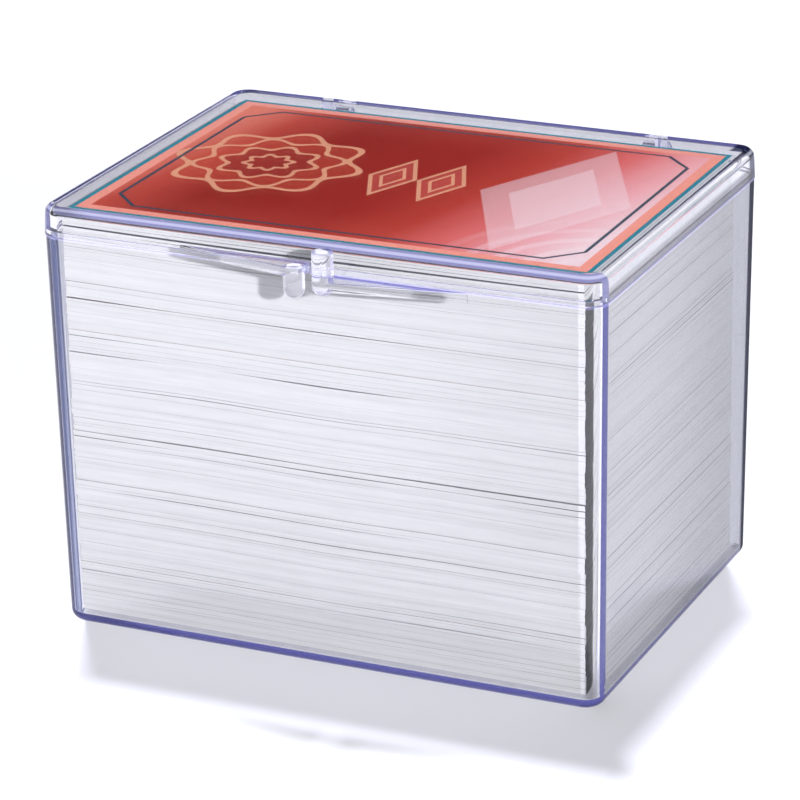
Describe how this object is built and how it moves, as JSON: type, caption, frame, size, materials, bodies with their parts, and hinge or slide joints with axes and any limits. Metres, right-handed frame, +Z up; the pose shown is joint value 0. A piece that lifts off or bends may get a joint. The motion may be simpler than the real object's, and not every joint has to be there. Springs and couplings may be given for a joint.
{
  "type": "card storage case",
  "caption": "Clear moulded storage case with a hinged lid and two latch tabs, filled with a flat stack of printed cards.",
  "frame": {"origin": "centre of the flat underside of the tray", "axes": "+Z up, +X along the long side towards the tray's latch tab, -Y towards the latch, +Y towards the hinge"},
  "size_m": [0.096, 0.0793, 0.072],
  "materials": {
    "clear_plastic": "clear moulded polystyrene, glossy, edges tinted lilac to indigo",
    "card_stock": "stack of white card edges with thin dark gaps",
    "card_print": null
  },
  "bodies": {
    "tray": {"case_tray": "clear_plastic", "top_card": "card_print", "card_pack_01": "card_stock", "card_pack_02": "card_stock", "card_pack_03": "card_stock", "card_pack_04": "card_stock", "card_pack_05": "card_stock", "card_pack_06": "card_stock", "card_pack_07": "card_stock", "card_pack_08": "card_stock", "card_pack_09": "card_stock", "card_pack_10": "card_stock", "card_pack_11": "card_stock", "card_pack_12": "card_stock", "card_pack_13": "card_stock", "card_pack_14": "card_stock", "card_pack_15": "card_stock", "card_pack_16": "card_stock", "card_pack_17": "card_stock", "card_pack_18": "card_stock", "card_pack_19": "card_stock", "card_pack_20": "card_stock", "card_pack_21": "card_stock", "card_pack_22": "card_stock", "card_pack_23": "card_stock", "card_pack_24": "card_stock", "card_pack_25": "card_stock", "card_pack_26": "card_stock", "card_pack_27": "card_stock", "card_pack_28": "card_stock", "card_pack_29": "card_stock", "card_pack_30": "card_stock"},
    "lid": {"case_lid": "clear_plastic"}
  },
  "joints": [
    {"name": "lid_hinge", "type": "hinge", "parent": "tray", "child": "lid", "pos_m": [0, 0.03788, 0.06706], "axis": [-1, 0, 0], "range_deg": [0, 110]}
  ]
}
